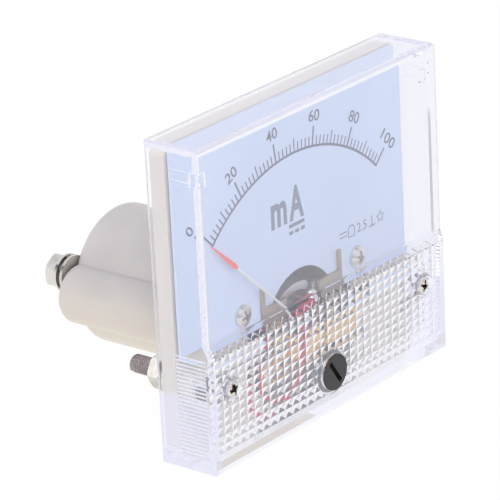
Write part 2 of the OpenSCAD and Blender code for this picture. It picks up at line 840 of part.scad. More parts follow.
// Everything that turns with the coil, drawn upright and set on its stop.
module at_rest() {
    rotate([0, -rest_angle, 0]) children();
}

// A closed frame about the core; its opening is clear by lo, its outside by hi.
module coil_frame(lo_x, hi_x, lo_front, hi_front, lo_rear, hi_rear, w) {
    translate([0, 0, -w / 2]) linear_extrude(height = w) difference() {
        translate([-hi_x, hi_front]) square([2 * hi_x, hi_rear - hi_front]);
        translate([-lo_x, lo_front]) square([2 * lo_x, lo_rear - lo_front]);
    }
}

module coil_former() {
    color([0.8, 0.8, 0.82]) at_rest() coil_frame(coil_in, coil_mid, coil_front_in,
        coil_front_in - former_t, coil_rear_in, coil_rear_in + former_t, former_w);
}

module coil_winding() {
    color([0.72, 0.38, 0.2]) at_rest() coil_frame(coil_mid, coil_out,
        coil_front_in - former_t, coil_front, coil_rear_in + former_t, coil_rear,
        former_w - 0.4);
}

// Pivot staff: disc on the coil at y0, collet for the spring, point at y1.
module pivot(y0, collet_y, y1) {
    way = sign(y1 - y0);
    turned_y(0, 0) polygon([[0, y0], [1.5, y0], [1.5, y0 + way * pivot_disc],
        [staff_r, y0 + way * pivot_disc], [staff_r, collet_y - way * 0.25],
        [collet_r, collet_y - way * 0.25], [collet_r, collet_y + way * 0.25],
        [staff_r, collet_y + way * 0.25], [staff_r, y1 - way * 0.55],
        [0.05, y1], [0, y1]]);
}

module front_pivot() {
    color("silver") at_rest() pivot(coil_front, front_spring_y, front_jewel_end - 0.4);
}

module rear_pivot() {
    color("silver") at_rest() pivot(coil_rear, rear_spring_y, rear_jewel_end + 0.4);
}

module pointer() {
    lean = atan((hub_y - tip_y) / pointer_l);
    tube_l = pointer_l - tip_l;
    color([0.9, 0.25, 0.2]) at_rest() difference() {
        union() {
            rod_y(0, 0, 1.1, -hub_y - 0.3, -hub_y + 0.3);
            translate([0, -hub_y, 0]) rotate([-lean, 0, 0]) {
                cylinder(h = tube_l + 0.5, r = pointer_d / 2);
                translate([0, 0.06, tube_l]) rotate([90, 0, 0]) linear_extrude(height = 0.12)
                    polygon([[-tip_w / 2, 0.6], [-pointer_d / 2, 0], [pointer_d / 2, 0],
                        [tip_w / 2, 0.6], [0.08, tip_l], [-0.08, tip_l]]);
            }
            translate([-arm_l, -hub_y - 0.25, -arm_t / 2]) cube([2 * arm_l, arm_t, arm_t]);
            translate([-arm_t / 2, -hub_y - 0.25, -tail_l]) cube([arm_t, arm_t, tail_l]);
        }
        rod_y(0, 0, staff_r + seat, -hub_y - 1, -hub_y + 1);
    }
}

module balance_weights() {
    sleeve = 1.4;
    color([0.8, 0.65, 0.3]) at_rest() translate([0, -hub_y, 0]) {
        for (a = [90, -90, 180]) rotate([0, a, 0])
            translate([0, 0, a == 180 ? tail_l - 2.4 : arm_l - 1.8]) difference() {
                cylinder(h = sleeve, r = weight_r);
                cube([arm_t + 2 * seat, arm_t + 2 * seat, 4 * sleeve], center = true);
            }
    }
}

module front_hairspring() {
    r_in = collet_r + 0.1;
    color([0.8, 0.6, 0.35]) span_y(front_spring_y - spring_w / 2, front_spring_y + spring_w / 2) {
        rotate(90 - lever_arm_a) {
            spiral(r_in, spring_r, spring_turns, 180, spring_t);
            translate([spring_r - spring_t, -spring_t / 2])
                square([lever_arm_r - 0.3 - spring_r + spring_t, spring_t]);
        }
    }
}

module rear_hairspring() {
    r_in = collet_r + 0.1;
    color([0.8, 0.6, 0.35]) span_y(rear_spring_y - spring_w / 2, rear_spring_y + spring_w / 2) {
        spiral(r_in, spring_r, spring_turns, 180, spring_t);
        translate([spring_r - spring_t, -spring_t / 2])
            square([yoke_bore + 0.25 - spring_r + spring_t, spring_t]);
    }
}

// -------------------------------------------------------------- terminals

// Stud along Y, drawn at its root inside its nut and at full size from free_y on.
module stud(x, z, y0, free_y, y1) {
    crest = stud_d / 2;
    turned_y(x, z) polygon([[0, y0], [root_r, y0], [root_r, free_y], [crest, free_y],
        [crest, y1 - 0.25], [crest - 0.25, y1], [0, y1]]);
}

module terminal_studs() {
    color([0.8, 0.78, 0.72]) for (x = [-lobe_x, lobe_x])
        stud(x, term_z, barrel_l - term_embed, term_nut_y + nut_t + free_gap,
            barrel_l + term_l);
}

module terminal_washers() {
    color([0.75, 0.7, 0.55]) for (x = [-lobe_x, lobe_x], y = [barrel_l, barrel_l + washer_t
            + spring_washer_t])
        washer(x, term_z, y);
}

module terminal_spring_washers() {
    color([0.6, 0.6, 0.62]) for (x = [-lobe_x, lobe_x])
        spring_washer(x, term_z, barrel_l + washer_t, spring_washer_t);
}

module terminal_nuts() {
    color([0.85, 0.84, 0.8]) for (s = [-1, 1])
        hex_nut(s * lobe_x, term_z, nut_af, root_r + seat, term_nut_y, term_nut_y + nut_t,
            s * term_nut_turn);
}

module terminal_lugs() {
    lug_y = channel_end - lug_l - 0.4;
    lug_w = 2.4;
    top = term_z - root_r - slip;
    color([0.85, 0.7, 0.35]) for (x = [-lobe_x, lobe_x]) difference() {
        translate([x - lug_w / 2, lug_y, top - lug_t]) cube([lug_w, lug_l, lug_t]);
        translate([x, lug_y + lug_w / 2, top - 1]) cylinder(h = 2, r = 0.5);
    }
}

// --------------------------------------------------------------- mounting

module mounting_studs() {
    color([0.72, 0.7, 0.66]) for (x = [-stud_x, stud_x]) difference() {
        union() {
            rod_y(x, 0, sleeve_r, boss_front, sleeve_back);
            stud(x, 0, sleeve_back - open, mount_nut_y + nut_t + free_gap, stud_l);
        }
        rod_y(x, 0, cover_thread_d / 2 + seat, boss_front - open, sleeve_back - 0.4);
    }
}

module mounting_washers() {
    color("silver") for (x = [-stud_x, stud_x]) washer(x, 0, 0);
}

module mounting_spring_washers() {
    color([0.6, 0.6, 0.62]) for (x = [-stud_x, stud_x])
        spring_washer(x, 0, washer_t, spring_washer_h);
}

module mounting_nuts() {
    color("silver") for (x = [-stud_x, stud_x])
        hex_nut(x, 0, nut_af, root_r + seat, mount_nut_y, mount_nut_y + nut_t, 0);
}

// ------------------------------------------------------ leads and shunt

module red_lead() {
    route = [[3.1, -4.65, 5.7], [0.6, -4.9, 5.4], [-2.4, -5.2, 5.3], [-4.9, -5.25, 4.2],
        [-6.2, -5.9, 3.2], [-6.3, -7.4, 3.0], [-6.2, -8.7, 2.9], [-6.2, -9.15, 1.4],
        [-7.0, -9.1, -1.6], [-8.2, -9.0, -4.6], [-10.4, -8.6, -6.6], [-13.8, -7.6, -7.6],
        [-16.6, -6.4, -6.0], [-17.0, -5.4, -3.0], [-15.4, -4.5, 0.2], [-13.9, -3.3, 1.5],
        [-13.2, -1, 1.9], [-12.8, 3, 2.1], [-12.5, 12, 2.1], [-12.2, 20.3, 2.75]];
    color([0.85, 0.2, 0.25]) wire(eased(route, 2), lead_r);
}

module black_lead() {
    route = [[8.65, 11, 0], [9.2, 12.6, 0.2], [10.3, 14.4, 1.2], [11.4, 17, 2.2],
        [12.2, 20.3, 2.75]];
    color([0.15, 0.15, 0.16]) wire(eased(route, 4), lead_r);
}

module shunt_resistor() {
    body_l = 10;
    cap_l = 1.2;
    span = 2 * lobe_x - 2.5;
    lug_mid = term_z - root_r - slip - lug_t / 2;
    color([0.55, 0.75, 0.6]) translate([0, channel_end - 3, lug_mid]) rotate([0, 90, 0]) {
        cylinder(h = body_l, r = 1.8, center = true);
        for (z = [-1, 1] * (body_l - cap_l) / 2)
            translate([0, 0, z]) cylinder(h = cap_l, r = 2.1, center = true);
        cylinder(h = span, r = 0.2, center = true);
    }
}

front_cover();
cover_screws();
zero_adjuster();
base_case();
dial_plate();
dial_screws();
movement_plate();
movement_screws();
yoke_ring();
yoke_clip();
core_magnet();
core_spacers();
front_bridge();
bridge_screws();
front_jewel_screw();
front_jewel_nut();
zero_lever();
rear_bridge();
rear_jewel_screw();
rear_jewel_nut();
coil_former();
coil_winding();
front_pivot();
rear_pivot();
pointer();
balance_weights();
front_hairspring();
rear_hairspring();
terminal_studs();
terminal_washers();
terminal_spring_washers();
terminal_nuts();
terminal_lugs();
mounting_studs();
mounting_washers();
mounting_spring_washers();
mounting_nuts();
red_lead();
black_lead();
shunt_resistor();
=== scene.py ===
"""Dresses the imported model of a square-faced moving-coil panel meter for Blender 4.5.

The solids come from the frame. This script gives every one its finish, and adds what is too fine
for the solids: the figures, unit and symbols on the dial, the threads and a bead of solder.
Lengths are in metres, in the model's own frame: X to the right, Y back through the panel, Z up.
The dial's print alone is laid out in millimetres.
"""

import logging
import math
from dataclasses import dataclass
from enum import Enum
from typing import ClassVar, Protocol, Sequence

import bmesh
import bpy
from mathutils import Matrix, Vector


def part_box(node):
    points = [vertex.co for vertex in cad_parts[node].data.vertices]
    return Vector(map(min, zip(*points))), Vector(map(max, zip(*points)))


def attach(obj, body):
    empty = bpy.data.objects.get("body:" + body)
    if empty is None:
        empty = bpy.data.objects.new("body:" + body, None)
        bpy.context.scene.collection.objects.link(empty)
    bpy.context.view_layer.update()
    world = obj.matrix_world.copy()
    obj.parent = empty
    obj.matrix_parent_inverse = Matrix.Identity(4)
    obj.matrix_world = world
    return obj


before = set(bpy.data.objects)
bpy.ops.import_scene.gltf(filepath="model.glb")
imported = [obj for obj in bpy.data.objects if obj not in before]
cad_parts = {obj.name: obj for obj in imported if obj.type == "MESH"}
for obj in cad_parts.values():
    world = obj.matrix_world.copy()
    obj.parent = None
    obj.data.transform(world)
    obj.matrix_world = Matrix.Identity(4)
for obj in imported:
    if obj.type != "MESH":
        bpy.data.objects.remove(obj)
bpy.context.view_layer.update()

LOG = logging.getLogger("panel_meter")
MM = 0.001
Rgb = tuple[float, float, float]
Span = tuple[float, float]
Point = tuple[float, float]


def linear(value: int) -> float:
    """Returns a colour channel of 0 to 255 as a linear share of 1."""
    share = value / 255
    return share / 12.92 if share <= 0.04045 else ((share + 0.055) / 1.055) ** 2.4


def srgb(red: int, green: int, blue: int) -> Rgb:
    """Returns a colour of 0 to 255 a channel as Blender's linear colour."""
    return linear(red), linear(green), linear(blue)


# ------------------------------------------------------------------------------- node trees


class Maths(Enum):
    """The operations of the Math node that the trees use."""

    ABSOLUTE = "ABSOLUTE"
    ADD = "ADD"
    DIVIDE = "DIVIDE"
    GREATER = "GREATER_THAN"
    LESS = "LESS_THAN"
    MAXIMUM = "MAXIMUM"
    MULTIPLY = "MULTIPLY"
    ROOT = "SQRT"
    SUBTRACT = "SUBTRACT"


class NodeTree:
    """A node tree with short calls that add nodes and feed their inputs."""

    prefix: ClassVar[str] = "ShaderNode"

    def __init__(self, tree: bpy.types.NodeTree) -> None:
        """Empties a tree and takes it over.

        Args:
            tree: the tree to fill.
        """
        self.tree = tree
        tree.nodes.clear()

    def add(self, kind: str, **inputs: object) -> bpy.types.Node:
        """Adds a node and sets or links its inputs.

        Args:
            kind: the node's type without this kind of tree's prefix.
            inputs: socket names with underscores for spaces, and a value or an output socket.

        Returns:
            The new node.
        """
        node = self.tree.nodes.new(self.prefix + kind)
        for name, value in inputs.items():
            self.feed(node.inputs[name.replace("_", " ")], value)
        return node

    def feed(self, socket: bpy.types.NodeSocket, value: object) -> None:
        """Links an output socket to an input, or sets the input's own value.

        Args:
            socket: the input.
            value: an output socket or a plain value; a colour may leave out its alpha.
        """
        if isinstance(value, bpy.types.NodeSocket):
            self.tree.links.new(value, socket)
        elif isinstance(value, tuple) and len(value) == 3 and len(socket.default_value) == 4:
            socket.default_value = (*value, 1.0)
        else:
            socket.default_value = value

    def maths(self, operation: Maths, first: object, second: object = 0.0
              ) -> bpy.types.NodeSocket:
        """Adds a Math node.

        Args:
            operation: what the node works out.
            first: the first value or output socket.
            second: the second value or output socket, where the operation has one.

        Returns:
            The result's socket.
        """
        node = self.tree.nodes.new("ShaderNodeMath")
        node.operation = operation.value
        self.feed(node.inputs[0], first)
        self.feed(node.inputs[1], second)
        return node.outputs[0]


class ShaderTree(NodeTree):
    """A tree that ends in one shader, for a surface or for the surround."""

    def __init__(self, tree: bpy.types.NodeTree, ending: str, coordinates: str) -> None:
        """Starts the tree with its output and its texture coordinates.

        Args:
            tree: the tree to fill.
            ending: the output node's type without the prefix.
            coordinates: the texture coordinates that the tree's patterns read.
        """
        super().__init__(tree)
        self.output = self.add(ending)
        self.place = self.add("TexCoord").outputs[coordinates]

    def axis(self, letter: str) -> bpy.types.NodeSocket:
        """Returns one of the tree's texture coordinates."""
        return self.add("SeparateXYZ", Vector=self.place).outputs[letter]

    def reach(self, across: object, up: object) -> bpy.types.NodeSocket:
        """Returns how far a point that lies across and up from an axis is from it."""
        squares = [self.maths(Maths.MULTIPLY, side, side) for side in (across, up)]
        return self.maths(Maths.ROOT, self.maths(Maths.ADD, *squares))

    def noise(self, scale: float, detail: float = 3.0) -> bpy.types.NodeSocket:
        """Adds a noise pattern.

        Args:
            scale: how many cells there are to a unit of the coordinates.
            detail: how many finer layers are added.

        Returns:
            The socket of a value from 0 to 1.
        """
        return self.add("TexNoise", Vector=self.place, Scale=scale, Detail=detail).outputs["Fac"]

    def ramp(self, value: object, span: Span, result: Span, smooth: bool = False
             ) -> bpy.types.NodeSocket:
        """Carries a value from one span to another and holds it at the ends.

        Args:
            value: the value or output socket.
            span: the value's own low and high.
            result: what the low and the high turn into.
            smooth: whether the result eases in and out.

        Returns:
            The result's socket.
        """
        node = self.add("MapRange", Value=value, From_Min=span[0], From_Max=span[1],
                        To_Min=result[0], To_Max=result[1])
        node.interpolation_type = "SMOOTHSTEP" if smooth else "LINEAR"
        return node.outputs["Result"]

    def uneven(self, noise: bpy.types.NodeSocket, low: float, high: float
               ) -> bpy.types.NodeSocket:
        """Returns a value that wanders from low to high as a noise pattern does."""
        return self.ramp(noise, (0.3, 0.7), (low, high))

    def blend(self, share: object, first: object, second: object) -> bpy.types.NodeSocket:
        """Mixes two colours.

        Args:
            share: how much of the second there is, from 0 to 1.
            first: the first colour or output socket.
            second: the second colour or output socket.

        Returns:
            The mixed colour's socket.
        """
        node = self.add("Mix")
        node.data_type = "RGBA"
        self.feed(node.inputs["Factor"], share)
        self.feed(node.inputs[6], first)
        self.feed(node.inputs[7], second)
        return node.outputs[2]

    def bump(self, height: object, strength: float, depth: float) -> bpy.types.NodeSocket:
        """Returns the normal of a bumped surface; depth is in metres."""
        return self.add("Bump", Height=height, Strength=strength, Distance=depth).outputs[0]

    def shader(self, kind: str, **inputs: object) -> bpy.types.NodeSocket:
        """Adds a shader node as add does, and returns its output."""
        return self.add(kind, **inputs).outputs[0]

    def layer(self, share: object, under: bpy.types.NodeSocket, over: bpy.types.NodeSocket
              ) -> bpy.types.NodeSocket:
        """Mixes two shaders.

        Args:
            share: how much of the second there is, from 0 to 1.
            under: the first shader's output.
            over: the second shader's output.

        Returns:
            The mixed shader's output.
        """
        node = self.add("MixShader")
        for socket, value in zip(node.inputs, (share, under, over)):
            self.feed(socket, value)
        return node.outputs[0]

    def ray(self, kind: str) -> bpy.types.NodeSocket:
        """Returns 1 for one kind of ray and 0 for the others."""
        return self.add("LightPath").outputs[f"Is {kind} Ray"]

    def close(self, shader: bpy.types.NodeSocket) -> None:
        """Ends the tree in a shader."""
        self.feed(self.output.inputs["Surface"], shader)


class SurfaceTree(ShaderTree):
    """A material's tree, whose patterns read the place on the meter in metres."""

    def __init__(self, name: str) -> None:
        """Starts an empty material.

        Args:
            name: the material's name.
        """
        self.material = bpy.data.materials.new(name)
        self.material.use_nodes = True
        super().__init__(self.material.node_tree, "OutputMaterial", "Object")

    def finish(self, shader: bpy.types.NodeSocket) -> bpy.types.Material:
        """Ends the tree in a shader and returns the material."""
        self.close(shader)
        return self.material


# --------------------------------------------------------------------------------- finishes


class Finish(Protocol):
    """What every finish offers."""

    name: str

    def build(self) -> bpy.types.Material:
        """Returns the material."""


@dataclass(frozen=True)
class MouldedPlastic:
    """A moulded plastic with faint flow marks and a fine skin, and where given, painted light: a
    lighter, warmer tone towards the bottom and at the front.
    """

    name: str
    colour: Rgb
    shade: Rgb
    roughness: float = 0.35
    cloud_scale: float = 90.0
    skin_scale: float = 9000.0
    skin_depth: float = 4e-6
    subsurface: float = 0.0
    # painted light: the lower part and the front can be painted in a lighter, warmer tone
    painted_light_low: Rgb | None = None
    painted_light_low_span: Span = (-2 * MM, 7 * MM)
    painted_light_front: Rgb | None = None
    painted_light_front_span: Span = (0.0, 1 * MM)

    def build(self) -> bpy.types.Material:
        """Returns the material."""
        tree = SurfaceTree(self.name)
        cloud = tree.ramp(tree.noise(self.cloud_scale, 2), (0.35, 0.65), (0, 1))
        skin = tree.noise(self.skin_scale, 2)
        paint = tree.blend(cloud, self.colour, self.shade)
        # painted light: lighter and warmer towards the bottom
        if self.painted_light_low:
            low = tree.ramp(tree.axis("Z"), self.painted_light_low_span, (1, 0))
            paint = tree.blend(low, paint, self.painted_light_low)
        # painted light: lighter and warmer at the front
        if self.painted_light_front:
            front = tree.ramp(tree.axis("Y"), self.painted_light_front_span, (1, 0))
            paint = tree.blend(front, paint, self.painted_light_front)
        return tree.finish(tree.shader(
            "BsdfPrincipled", Base_Color=paint,
            Roughness=tree.uneven(skin, self.roughness * 0.85, self.roughness * 1.15),
            Normal=tree.bump(skin, 0.4, self.skin_depth), Subsurface_Weight=self.subsurface,
            Subsurface_Radius=(1.0, 0.8, 0.6), Subsurface_Scale=2 * MM))


@dataclass(frozen=True)
class PlatedMetal:
    """A plated or turned metal with fine uneven marks and dulled patches."""

    name: str
    colour: Rgb
    tarnish: Rgb
    roughness: float = 0.2
    patch_scale: float = 300.0
    mark_scale: float = 900.0
    mark_depth: float = 4e-6
    high_colour: Rgb | None = None
    high_span: Span = (4 * MM, 9 * MM)

    def build(self) -> bpy.types.Material:
        """Returns the material."""
        tree = SurfaceTree(self.name)
        patch = tree.ramp(tree.noise(self.patch_scale, 4), (0.45, 0.75), (0, 1))
        marks = tree.noise(self.mark_scale, 2)
        plate = tree.blend(patch, self.colour, self.tarnish)
        if self.high_colour:
            high = tree.ramp(tree.axis("Z"), self.high_span, (0, 1))
            plate = tree.blend(high, plate, self.high_colour)
        return tree.finish(tree.shader(
            "BsdfPrincipled", Metallic=1.0, Base_Color=plate,
            Roughness=tree.uneven(marks, self.roughness * 0.7, self.roughness * 1.4),
            Normal=tree.bump(marks, 0.12, self.mark_depth)))


@dataclass(frozen=True)
class RustedScrew:
    """Nickel-plated heads with rust in and around their recesses."""

    name: str
    colour: Rgb
    rust: Rgb
    screw_x: float
    recess_y: float
    rust_r: float = 0.62 * MM
    recess_r: float = 1.35 * MM
    blot: float = 0.5 * MM

    def build(self) -> bpy.types.Material:
        """Returns the material."""
        tree = SurfaceTree(self.name)
        side = tree.maths(Maths.ABSOLUTE, tree.axis("X"))
        reach = tree.reach(tree.maths(Maths.SUBTRACT, side, self.screw_x), tree.axis("Z"))
        blot = tree.uneven(tree.noise(900), -self.blot, self.blot)
        near = tree.maths(Maths.LESS, tree.maths(Maths.ADD, reach, blot), self.rust_r)
        deep = tree.maths(Maths.GREATER, tree.axis("Y"), self.recess_y)
        inside = tree.maths(Maths.LESS, reach, self.recess_r)
        rusted = tree.maths(Maths.MAXIMUM, near, tree.maths(Maths.MULTIPLY, deep, inside))
        return tree.finish(tree.shader(
            "BsdfPrincipled", Base_Color=tree.blend(rusted, self.colour, self.rust),
            Metallic=tree.ramp(rusted, (0, 1), (0.9, 0.0)),
            Roughness=tree.ramp(rusted, (0, 1), (0.22, 0.8))))


@dataclass(frozen=True)
class ClearPlastic:
    """Clear polished polystyrene that lets shadow rays through to what it covers.

    A faint painted glow, an emission, stands in for the light that the cloudy moulding scatters
    and traps, and the fluted side walls have more of it.
    """

    name: str
    tint: Rgb
    painted_glow: Rgb
    painted_glow_share: float = 0.075
    side_painted_glow: float = 0.42
    side_x: float = 30.4 * MM
    flutes_top: float = -0.9 * MM
    index: float = 1.58
    roughness: float = 0.015
    wave_depth: float = 8e-6

    def build(self) -> bpy.types.Material:
        """Returns the material."""
        tree = SurfaceTree(self.name)
        clear = tree.shader("BsdfPrincipled", Base_Color=self.tint, Roughness=self.roughness,
                            IOR=self.index, Transmission_Weight=1.0,
                            Normal=tree.bump(tree.noise(60, 2), 0.15, self.wave_depth))
        side = tree.maths(Maths.ABSOLUTE, tree.axis("X"))
        beside = tree.maths(Maths.GREATER, side, self.side_x)
        below = tree.maths(Maths.LESS, tree.axis("Z"), self.flutes_top)
        fluted = tree.maths(Maths.MULTIPLY, beside, below)
        share = tree.ramp(fluted, (0, 1), (self.painted_glow_share, self.side_painted_glow))
        # painted glow: an emission mixed into the clear shader, stronger on the fluted side
        # walls
        clear_with_painted_glow = tree.layer(share, clear, tree.shader("Emission", Color=self.painted_glow))
        through = tree.shader("BsdfTransparent", Color=self.tint)
        return tree.finish(tree.layer(tree.ray("Shadow"), clear_with_painted_glow, through))


@dataclass(frozen=True)
class DialEnamel:
    """Pale enamel on the dial plate, with ink on whatever stands proud of its face."""

    name: str
    enamel: Rgb
    ink: Rgb
    ink_y: float

    def build(self) -> bpy.types.Material:
        """Returns the material."""
        tree = SurfaceTree(self.name)
        speck = tree.noise(4000, 2)
        cloud = tree.uneven(tree.noise(60, 1), 0, 1)
        duller = tuple(0.97 * channel for channel in self.enamel)
        inked = tree.maths(Maths.LESS, tree.axis("Y"), self.ink_y)
        paint = tree.blend(inked, tree.blend(cloud, self.enamel, duller), self.ink)
        return tree.finish(tree.shader("BsdfPrincipled", Base_Color=paint,
                                       Roughness=tree.uneven(speck, 0.5, 0.62),
                                       Normal=tree.bump(speck, 0.3, 3e-6)))


@dataclass(frozen=True)
class PrintInk:
    """Thin printed ink."""

    name: str
    colour: Rgb

    def build(self) -> bpy.types.Material:
        """Returns the material."""
        tree = SurfaceTree(self.name)
        return tree.finish(tree.shader("BsdfPrincipled", Base_Color=self.colour,
                                       Roughness=tree.uneven(tree.noise(5000, 2), 0.45, 0.6)))


@dataclass(frozen=True)
class PointerPaint:
    """Bare tube near the hub and red enamel beyond a given distance from the axis."""

    name: str
    bare: Rgb
    red: Rgb
    red_from: float

    def build(self) -> bpy.types.Material:
        """Returns the material."""
        tree = SurfaceTree(self.name)
        reach = tree.reach(tree.axis("X"), tree.axis("Z"))
        red = tree.maths(Maths.GREATER, reach, self.red_from)
        return tree.finish(tree.shader(
            "BsdfPrincipled", Base_Color=tree.blend(red, self.bare, self.red),
            Metallic=tree.ramp(red, (0, 1), (0.5, 0)),
            Roughness=tree.uneven(tree.noise(3000, 2), 0.3, 0.42)))


SCREWS_LOW, SCREWS_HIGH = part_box("cover_screws")
SCREW_HEAD_R = 1.7 * MM
RECESS_DEPTH = 0.45 * MM
SCALE_PRINT_T = 0.04 * MM
DIAL_FACE_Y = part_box("dial_plate")[0].y + SCALE_PRINT_T

# the cream case has painted light: lighter and warmer towards its bottom and at its front
CREAM = MouldedPlastic("cream_case", srgb(211, 206, 207), srgb(203, 198, 199), 0.32,
                       subsurface=0.25, painted_light_low=srgb(218, 208, 194),
                       painted_light_front=srgb(222, 215, 203))
BLACK = MouldedPlastic("black_moulding", srgb(38, 38, 40), srgb(48, 48, 50), 0.42)
# the cover's last colour is its painted glow, an emission
CLEAR = ClearPlastic("clear_cover", (0.978, 0.98, 0.998), srgb(230, 231, 249))
NICKEL = PlatedMetal("bright_nickel", srgb(225, 222, 216), srgb(196, 190, 182), 0.14)
ZINC = PlatedMetal("zinc_plate", srgb(190, 186, 180), srgb(150, 145, 140), 0.28)
STRIP = PlatedMetal("strip_steel", srgb(160, 154, 150), srgb(134, 126, 122), 0.42,
                    mark_depth=1e-6, high_colour=srgb(188, 172, 150))
BRIDGE = PlatedMetal("bridge_strip", srgb(236, 204, 148), srgb(216, 178, 120), 0.34)
THREAD = PlatedMetal("threaded_steel", srgb(168, 158, 158), srgb(132, 122, 122), 0.24,
                     mark_depth=0.0)
SPRING_STEEL = PlatedMetal("spring_steel", srgb(120, 118, 118), srgb(84, 80, 80), 0.3)
YOKE = PlatedMetal("yoke_steel", srgb(206, 206, 210), srgb(186, 184, 186), 0.36)
MAGNET = PlatedMetal("magnet_alloy", srgb(150, 152, 160), srgb(118, 120, 128), 0.4)
ALUMINIUM = PlatedMetal("bright_aluminium", srgb(232, 232, 236), srgb(208, 208, 212), 0.2)
BRASS = PlatedMetal("turned_brass", srgb(214, 182, 112), srgb(176, 142, 82), 0.22)
COPPER = PlatedMetal("enamelled_copper", srgb(196, 112, 70), srgb(160, 82, 50), 0.3)
BRONZE = PlatedMetal("bronze_strip", srgb(206, 164, 112), srgb(172, 128, 80), 0.25)
SOLDER = PlatedMetal("solder", srgb(240, 240, 244), srgb(214, 214, 220), 0.25)
RED_PVC = MouldedPlastic("red_insulation", srgb(196, 32, 72), srgb(182, 26, 62), 0.4)
BLACK_PVC = MouldedPlastic("black_insulation", srgb(34, 34, 36), srgb(44, 44, 46), 0.4)
CEMENT = MouldedPlastic("cement_coat", srgb(150, 178, 156), srgb(138, 166, 146), 0.6)
RUSTED = RustedScrew("rusted_screw", srgb(226, 220, 208), srgb(52, 30, 22),
                     SCREWS_HIGH.x - SCREW_HEAD_R, SCREWS_LOW.y + RECESS_DEPTH)
ENAMEL = DialEnamel("dial_enamel", srgb(215, 230, 254), srgb(98, 100, 124),
                    DIAL_FACE_Y - 0.015 * MM)
POINTER = PointerPaint("pointer_paint", srgb(240, 240, 240), srgb(255, 92, 82), 24.6 * MM)
SCALE_INK = PrintInk("scale_ink", srgb(92, 94, 116))
PALE_INK = PrintInk("pale_ink", srgb(120, 132, 150))

NODE_FINISH: dict[str, Finish] = {
    "front_cover": CLEAR, "cover_screws": RUSTED, "zero_adjuster": BLACK, "base_case": CREAM,
    "dial_plate": ENAMEL, "dial_screws": NICKEL, "movement_plate": STRIP,
    "movement_screws": NICKEL, "yoke_ring": YOKE, "yoke_clip": NICKEL, "core_magnet": MAGNET,
    "core_spacers": ALUMINIUM, "front_bridge": BRIDGE, "bridge_screws": NICKEL,
    "front_jewel_screw": BRASS, "front_jewel_nut": BRASS, "zero_lever": NICKEL,
    "rear_bridge": ZINC, "rear_jewel_screw": BRASS, "rear_jewel_nut": BRASS,
    "coil_former": ALUMINIUM, "coil_winding": COPPER, "front_pivot": NICKEL,
    "rear_pivot": NICKEL, "pointer": POINTER, "balance_weights": BRASS,
    "front_hairspring": BRONZE, "rear_hairspring": BRONZE, "terminal_studs": ZINC,
    "terminal_washers": NICKEL, "terminal_spring_washers": SPRING_STEEL,
    "terminal_nuts": NICKEL, "terminal_lugs": BRASS, "mounting_studs": THREAD,
    "mounting_washers": NICKEL, "mounting_spring_washers": SPRING_STEEL,
    "mounting_nuts": NICKEL, "red_lead": RED_PVC, "black_lead": BLACK_PVC,
    "shunt_resistor": CEMENT,
}


# ----------------------------------------------------------------------------------- studio


class Surround(ShaderTree):
    """The world: an even light, a white backdrop, and the room that metal and plastic show."""

    lit_colour: ClassVar[Rgb] = (0.8, 0.8, 0.8)
    lit_strength: ClassVar[float] = 0.84
    room_colour: ClassVar[Rgb] = (0.93, 0.93, 1.0)
    gap_scale: ClassVar[float] = 2.8
    gap_level: ClassVar[float] = 0.06
    panel_aim: ClassVar[tuple[float, float, float]] = (-0.68, 0.59, 0.44)
    panel_dimming: ClassVar[float] = 0.8

    def __init__(self) -> None:
        """Starts the scene's world."""
        world = bpy.data.worlds.new("surround")
        bpy.context.scene.world = world
        world.use_nodes = True
        super().__init__(world.node_tree, "OutputWorld", "Generated")

    def build(self) -> None:
        """Shows the camera plain white, metal and clear plastic the room, the rest the light."""
        lit = self.shader("Background", Color=self.lit_colour, Strength=self.lit_strength)
        bent = self.maths(Maths.MAXIMUM, self.ray("Glossy"), self.ray("Transmission"))
        white = self.shader("Background", Color=(1.0, 1.0, 1.0), Strength=1.0)
        mirrored = self.layer(bent, lit, self.room())
        self.close(self.layer(self.ray("Camera"), mirrored, white))

    def room(self) -> bpy.types.NodeSocket:
        """Returns the room: white, with dark gaps on the front's side and one dark panel."""
        gaps = self.ramp(self.noise(self.gap_scale, 0.0), (0.45, 0.55), (self.gap_level, 1.0),
                         smooth=True)
        behind = self.ramp(self.axis("Y"), (-0.25, 0.05), (0.0, 1.0))
        light = self.maths(Maths.MAXIMUM, gaps, behind)
        dimmed = self.maths(Maths.SUBTRACT, light, self.panel())
        return self.shader("Background", Color=self.room_colour, Strength=dimmed)

    def panel(self) -> bpy.types.NodeSocket:
        """Returns how much the dark panel dims the room for rays that metal mirrors."""
        aim = self.add("VectorMath")
        aim.operation = "DOT_PRODUCT"
        self.feed(aim.inputs[0], self.place)
        self.feed(aim.inputs[1], self.panel_aim)
        panel = self.ramp(aim.outputs["Value"], (0.9, 0.96), (0.0, self.panel_dimming),
                          smooth=True)
        return self.maths(Maths.MULTIPLY, panel, self.ray("Glossy"))


@dataclass(frozen=True)
class Lamp:
    """A soft square lamp that points at the meter."""

    name: str
    place: tuple[float, float, float]
    size: float
    watts: float

    def build(self, aim: Vector) -> None:
        """Adds the lamp.

        Args:
            aim: the point that it shines at.
        """
        data = bpy.data.lights.new(self.name, "AREA")
        data.size = self.size
        data.energy = self.watts
        lamp = bpy.data.objects.new(self.name, data)
        lamp.location = self.place
        lamp.rotation_euler = (aim - lamp.location).to_track_quat("-Z", "Y").to_euler()
        bpy.context.scene.collection.objects.link(lamp)


